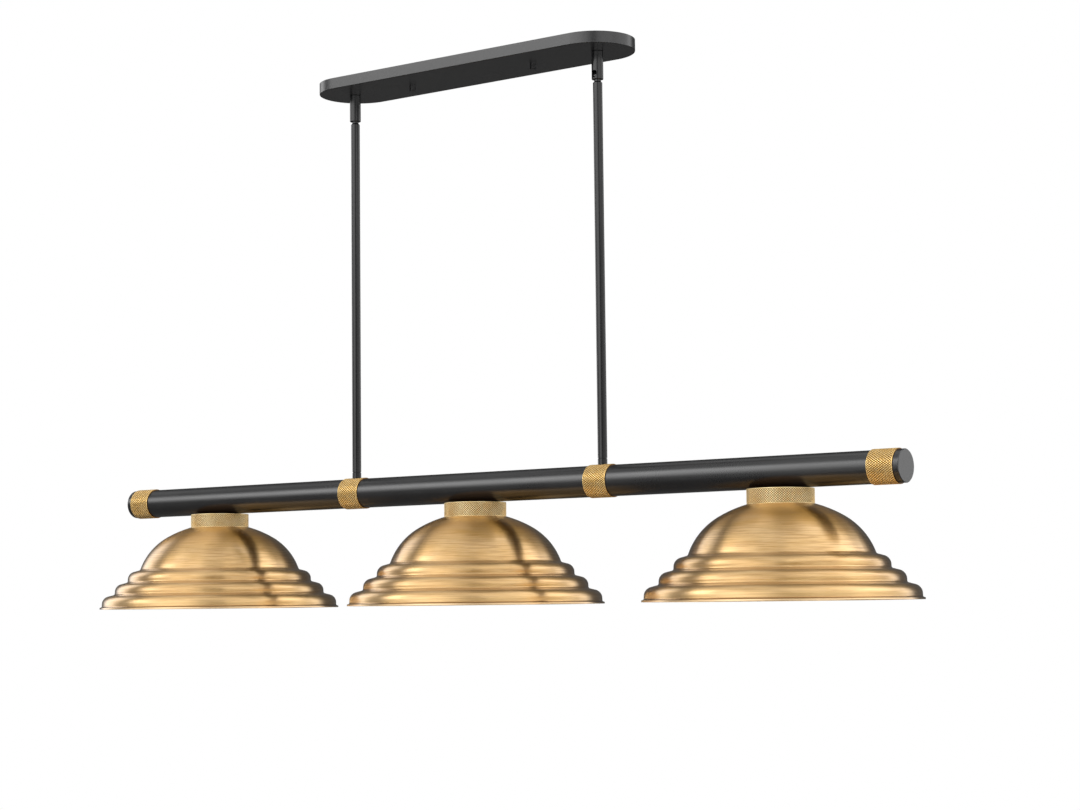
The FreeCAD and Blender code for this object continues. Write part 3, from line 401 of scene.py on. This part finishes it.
def plain_metal(name, low, high, roughness):
    """Plated or stamped metal with fine handling marks."""
    material, tree, shader = new_material(name)
    place = object_place(tree)
    cloud = noise(tree, place, scale=80.0, detail=3.0)
    scratch = noise(tree, place, scale=300.0, detail=4.0, roughness=0.7)
    feed(tree, shader.inputs["Base Color"], mix(tree, vary(tree, cloud, 0.0, 1.0), low, high))
    shader.inputs["Metallic"].default_value = 1.0
    feed(tree, shader.inputs["Roughness"], vary(tree, scratch, roughness - 0.06, roughness + 0.08))
    bump(tree, shader, scratch, distance=0.03 * MM, strength=0.4)
    return material


def moulded(name, low, high, roughness):
    """Moulded plastic with a faintly pitted skin."""
    material, tree, shader = new_material(name)
    place = object_place(tree)
    cloud = noise(tree, place, scale=40.0, detail=3.0)
    pit = noise(tree, place, scale=1400.0, detail=2.0)
    feed(tree, shader.inputs["Base Color"], mix(tree, vary(tree, cloud, 0.0, 1.0), low, high))
    feed(tree, shader.inputs["Roughness"], vary(tree, pit, roughness - 0.04, roughness + 0.05))
    bump(tree, shader, pit, distance=0.03 * MM, strength=0.5)
    return material


def frosted_glass(name):
    """White frosted bulb glass."""
    material, tree, shader = new_material(name)
    cloud = noise(tree, object_place(tree), scale=30.0, detail=2.0)
    milk = mix(tree, cloud, colour(0.86, 0.85, 0.81), colour(0.93, 0.92, 0.89))
    feed(tree, shader.inputs["Base Color"], milk)
    feed(tree, shader.inputs["Roughness"], vary(tree, cloud, 0.22, 0.3))
    shader.inputs["Subsurface Weight"].default_value = 0.3
    shader.inputs["Subsurface Radius"].default_value = (6 * MM, 6 * MM, 6 * MM)
    shader.inputs["Coat Weight"].default_value = 0.4
    shader.inputs["Coat Roughness"].default_value = 0.08
    return material


# Shapes

def new_piece(name, points, faces, place, turn, material, body):
    """A mesh piece with smooth faces and crisp edges, at its place, riding on its body."""
    mesh = bpy.data.meshes.new(name)
    mesh.from_pydata(points, [], faces)
    shape = bmesh.new()
    shape.from_mesh(mesh)
    bmesh.ops.recalc_face_normals(shape, faces=shape.faces)
    shape.to_mesh(mesh)
    shape.free()
    mesh.polygons.foreach_set("use_smooth", [True] * len(mesh.polygons))
    mesh.set_sharp_from_angle(angle=CRISP_ANGLE)
    mesh.materials.append(material)
    piece = bpy.data.objects.new(name, mesh)
    bpy.context.scene.collection.objects.link(piece)
    piece.rotation_euler = turn
    piece.location = place
    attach(piece, body)
    return piece


def knurled_turning(low, high, crest, diamond, outline):
    """Points and faces of a closed piece turned round Z, whose outside is cut with diamonds.

    The diamonds run between the heights low and high. The rest of its outline is a list of
    (radius, height), from the knurling's upper edge round to its lower one.
    """
    width, length = diamond
    count = round(2 * math.pi * crest / width)
    rows = 2 * round((high - low) / length)
    rise = (high - low) / rows
    valley = crest - DIAMOND_DEPTH
    step = 2 * math.pi / count
    half = CREST_SHARE * step / 2
    lift = CREST_SHARE * rise
    points = []
    faces = []

    def spot(radius, angle, height):
        """A new point's number."""
        points.append((radius * math.cos(angle), radius * math.sin(angle), height))
        return len(points) - 1

    # Every second row is moved along by half a diamond. Crossing n of a row, where two cuts meet,
    # is the left corner of that row's diamond n.
    crossings = []
    for row in range(rows + 1):
        shift = 0.5 * (row % 2) - 0.5
        height = low + row * rise
        crossings.append([spot(valley, (n + shift) * step, height) for n in range(count)])
    # The two crest corners of each diamond that an edge of the knurling cuts in half
    edge_tops = {0: [], rows: []}
    for row in range(rows + 1):
        height = low + row * rise
        for n in range(count):
            middle = (n + 0.5 * (row % 2)) * step
            beside = (n + row % 2) % count
            left = (crossings[row][n], spot(crest, middle - half, height))
            right = (crossings[row][(n + 1) % count], spot(crest, middle + half, height))
            corners = [left]
            if row > 0:
                corners.append((crossings[row - 1][beside], spot(crest, middle, height - lift)))
            corners.append(right)
            if row < rows:
                corners.append((crossings[row + 1][beside], spot(crest, middle, height + lift)))
            if row in edge_tops:
                edge_tops[row].append((left[1], right[1]))
            faces.append([top for _foot, top in corners])
            # A half diamond has no flank along the edge
            for (foot, top), (next_foot, next_top) in zip(corners, corners[1:] + corners[:1]):
                if {foot, next_foot} != {left[0], right[0]}:
                    faces.append([foot, next_foot, next_top, top])
    # The plain outline, ring after ring of points. Both edge rows are even ones, so a ring's point
    # n is in line with their crossing n.
    path = [(crest, high)] + outline + [(crest, low)]
    rings = [[spot(radius, (n - 0.5) * step, height) for n in range(count)]
             for radius, height in path]
    for above, below in zip(rings, rings[1:]):
        for n in range(count):
            after = (n + 1) % count
            face = [above[n], above[after], below[after], below[n]]
            if above is rings[0]:
                left, right = edge_tops[rows][n]
                face[1:1] = [left, right]
            if below is rings[-1]:
                left, right = edge_tops[0][n]
                face[-1:-1] = [right, left]
            faces.append(face)
    # Three-cornered ends of the cuts, where they run out at the edges
    for row, ring in ((rows, rings[0]), (0, rings[-1])):
        for n in range(count):
            after = (n + 1) % count
            left, right = edge_tops[row][n]
            faces.append([crossings[row][n], left, ring[n]])
            faces.append([crossings[row][after], ring[after], right])
    return points, faces


def knurled_sleeve(node, body, material):
    """A knurled sleeve round the tube, in the place of its plain ring."""
    low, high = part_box(node)
    tube_low, tube_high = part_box("main_tube")
    radius = (high.z - low.z) / 2
    half = (high.x - low.x) / 2
    inside = (tube_high.z - tube_low.z) / 2
    border = half - SLEEVE_BORDER
    outline = [
        (radius, half - CORNER_CUT), (radius - CORNER_CUT, half),
        (inside, half), (inside, -half),
        (radius - CORNER_CUT, -half), (radius, CORNER_CUT - half),
    ]
    points, faces = knurled_turning(-border, border, radius, SLEEVE_DIAMOND, outline)
    middle = (low + high) / 2
    along_tube = Euler((0, math.pi / 2, 0))
    piece = new_piece("knurled_" + node, points, faces, middle, along_tube, material, body)
    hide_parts(node)


def knurled_cup(node, body, material):
    """The knurled cup between the tube and a shade, in the place of its plain one."""
    low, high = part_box(node)
    radius = (high.x - low.x) / 2
    height = high.z - low.z
    inside = radius - CUP_SKIN
    ceiling = height - CUP_SKIN
    outline = [
        (radius, height - CORNER_CUT), (radius - CORNER_CUT, height),
        (CUP_HOLE_RADIUS, height), (CUP_HOLE_RADIUS, ceiling),
        (inside, ceiling), (inside, CUP_FOOT_CLIMB),
        (radius, 0.0),
    ]
    points, faces = knurled_turning(CUP_FOOT_BORDER, height - CUP_TOP_BORDER, radius, CUP_DIAMOND,
                                    outline)
    foot = Vector(((low.x + high.x) / 2, (low.y + high.y) / 2, low.z))
    upright = Euler((0, 0, 0))
    piece = new_piece("knurled_" + node, points, faces, foot, upright, material, body)
    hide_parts(node)


# Finishes

def finish_table():
    """The materials of the nodes that aren't satin black, by the starts of their names."""
    zinc = plain_metal("zinc_plate", colour(0.52, 0.53, 0.55), colour(0.66, 0.66, 0.66), 0.32)
    stamped = plain_metal("stamped_brass", colour(0.74, 0.52, 0.22), colour(0.84, 0.63, 0.30), 0.25)
    cap = plain_metal("bulb_cap", colour(0.70, 0.70, 0.71), colour(0.80, 0.80, 0.80), 0.22)
    green = plain_metal("green_plate", colour(0.05, 0.26, 0.09), colour(0.07, 0.34, 0.12), 0.35)
    phenolic = moulded("black_phenolic", colour(0.018, 0.017, 0.016), colour(0.032, 0.030, 0.028),
                       0.38)
    nylon = moulded("white_nylon", colour(0.74, 0.73, 0.69), colour(0.82, 0.81, 0.78), 0.42)
    vinyl = moulded("lead_sleeve", colour(0.03, 0.03, 0.032), colour(0.05, 0.05, 0.052), 0.45)
    rod_black = powder_black("rod_black", roughness=0.2, ior=1.58)
    table = {
        "shade_ring": phenolic,
        "lamp_holder": phenolic,
        "screw_shell": stamped,
        "centre_contacts": stamped,
        "bulb_glass": frosted_glass("frosted_glass"),
        "bulb_base": cap,
        "lamp_lead": vinyl,
        "canopy_leads": vinyl,
        "terminal_block": nylon,
        "ground_screw": green,
    }
    for side in SHADES:
        table["shade_" + side] = spun_brass("spun_brass_" + side, *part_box("shade_" + side))
    for start in ("stem_rod", "stem_foot", "ball_stud", "swivel_coupler", "canopy_cap_nuts"):
        table[start] = rod_black
    for start in ("mounting_bracket", "canopy_studs", "stud_lock_nuts", "coupler_nipples",
                  "coupler_washers", "coupler_nuts", "stem_nipples", "stem_saddles", "stem_nuts",
                  "lamp_nipples", "lamp_saddles", "lamp_nuts"):
        table[start] = zinc
    return table


def dress_nodes():
    """Give each node its finish."""
    table = finish_table()
    satin_black = powder_black("satin_black", roughness=0.29, ior=1.7)
    for name, node in frame["nodes"].items():
        fitting = [material for start, material in table.items() if name.startswith(start)]
        node.data.materials.clear()
        node.data.materials.append(fitting[0] if fitting else satin_black)


def dress_knurling():
    """Cut the diamonds on the sleeves and the cups."""
    sleeve_low, sleeve_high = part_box("end_ring_left")
    sleeve_brass = knurled_brass("knurled_sleeve_brass", (sleeve_high.z - sleeve_low.z) / 2,
                                 deep=colour(0.96, 0.60, 0.17), pale=colour(1.0, 0.73, 0.30))
    # The cups' brass is a paler copy of the sleeves': a painted highlight for the stronger light on
    # the cups
    cup_low, cup_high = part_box("neck_cup_centre")
    lit_cup_brass = knurled_brass("knurled_cup_brass", (cup_high.x - cup_low.x) / 2,
                              deep=colour(0.97, 0.72, 0.32), pale=colour(1.0, 0.86, 0.50))
    for side in ENDS:
        knurled_sleeve("end_ring_" + side, "pendant", sleeve_brass)
        knurled_sleeve("stem_ring_" + side, "pendant", sleeve_brass)
    for side in SHADES:
        knurled_cup("neck_cup_" + side, "pendant", lit_cup_brass)


# Studio

def make_floor():
    """A plain pale floor, far below the light, and dark for what its surfaces reflect."""
    half = FLOOR_SIZE / 2
    corners = [(-half, -half, 0), (half, -half, 0), (half, half, 0), (-half, half, 0)]
    mesh = bpy.data.meshes.new("floor")
    mesh.from_pydata(corners, [], [(0, 1, 2, 3)])
    floor = bpy.data.objects.new("floor", mesh)
    floor.location = (0, 0, FLOOR_LEVEL)
    bpy.context.scene.collection.objects.link(floor)
    material, tree, shader = new_material("pale_floor")
    cloud = noise(tree, object_place(tree), scale=0.8, detail=3.0)
    pale = mix(tree, cloud, colour(0.84, 0.84, 0.84), colour(0.88, 0.88, 0.88))
    seen = add(tree, "ShaderNodeLightPath").outputs["Is Camera Ray"]
    feed(tree, shader.inputs["Base Color"], mix(tree, seen, colour(0.14, 0.14, 0.14), pale))
    shader.inputs["Roughness"].default_value = 0.9
    shader.inputs["Emission Color"].default_value = colour(1, 1, 1)
    feed(tree, shader.inputs["Emission Strength"], maths(tree, "MULTIPLY", seen, FLOOR_LIFT))
    mesh.materials.append(material)


def make_panel(name, place, width, height, radiance):
    """A soft rectangular lamp that faces the light's middle."""
    lamp = bpy.data.lights.new(name, "AREA")
    lamp.shape = "RECTANGLE"
    lamp.size = width
    lamp.size_y = height
    lamp.energy = radiance * math.pi * width * height
    panel = bpy.data.objects.new(name, lamp)
    panel.location = place
    panel.rotation_euler = (place - OBJECT_MIDDLE).to_track_quat("Z", "Y").to_euler()
    bpy.context.scene.collection.objects.link(panel)


def window(tree, angle, low, high):
    """One between two angles and nothing outside them, with soft edges."""
    low_out, low_in, high_in, high_out = (math.radians(side) for side in (
        low - SCREEN_SOFTNESS, low + SCREEN_SOFTNESS,
        high - SCREEN_SOFTNESS, high + SCREEN_SOFTNESS))
    rise = stretch(tree, angle, low_out, low_in, 0.0, 1.0)
    fall = stretch(tree, angle, high_in, high_out, 1.0, 0.0)
    return maths(tree, "MULTIPLY", rise, fall)


def make_world():
    """White behind the object, and for its reflections a dim room with white screens in it."""
    world = bpy.data.worlds.new("studio")
    bpy.context.scene.world = world
    world.use_nodes = True
    tree = world.node_tree
    background = tree.nodes["Background"]
    way = add(tree, "ShaderNodeTexCoord").outputs["Generated"]
    across = (math.cos(STUDIO_TURN), math.sin(STUDIO_TURN), 0)
    towards = (math.sin(STUDIO_TURN), -math.cos(STUDIO_TURN), 0)
    up = (0, 0, 1)
    aside, ahead, above = (vector_maths(tree, "DOT_PRODUCT", way, axis).outputs["Value"]
                           for axis in (across, towards, up))
    turn = maths(tree, "ARCTAN2", aside, ahead)
    lift = maths(tree, "ARCSINE", above)
    level = ROOM_LEVEL
    for left, right, low, high, brightness in SCREENS:
        shape = maths(tree, "MULTIPLY", window(tree, turn, left, right),
                      window(tree, lift, low, high))
        level = maths(tree, "ADD", level, maths(tree, "MULTIPLY", shape, brightness))
    room = together(tree, (level, level, level))
    path = add(tree, "ShaderNodeLightPath")
    seen = maths(tree, "MAXIMUM", path.outputs["Is Camera Ray"],
                 path.outputs["Is Transmission Ray"])
    feed(tree, background.inputs["Color"], mix(tree, seen, room, colour(1, 1, 1)))
    background.inputs["Strength"].default_value = 1.0


def make_camera():
    """The camera at the photograph's angle."""
    forward = Vector((-math.sin(CAMERA_YAW) * math.cos(CAMERA_PITCH),
                      math.cos(CAMERA_YAW) * math.cos(CAMERA_PITCH),
                      math.sin(CAMERA_PITCH)))
    right = forward.cross(Vector((0, 0, 1))).normalized()
    up = right.cross(forward)
    rolled_right = right * math.cos(CAMERA_ROLL) + up * math.sin(CAMERA_ROLL)
    rolled_up = up * math.cos(CAMERA_ROLL) - right * math.sin(CAMERA_ROLL)
    lens = bpy.data.cameras.new("camera")
    lens.sensor_fit = "HORIZONTAL"
    lens.sensor_width = SENSOR_WIDTH_MM
    lens.lens = FOCAL_PIXELS / PHOTO_WIDTH_PIXELS * SENSOR_WIDTH_MM
    camera = bpy.data.objects.new("camera", lens)
    bpy.context.scene.collection.objects.link(camera)
    turned = Matrix((rolled_right, rolled_up, -forward)).transposed().to_4x4()
    camera.matrix_world = Matrix.Translation(CAMERA_PLACE) @ turned
    bpy.context.scene.camera = camera


dress_nodes()
dress_knurling()
make_floor()
make_world()
for panel in PANELS:
    make_panel(*panel)
make_camera()
bpy.context.scene.view_settings.view_transform = "Standard"
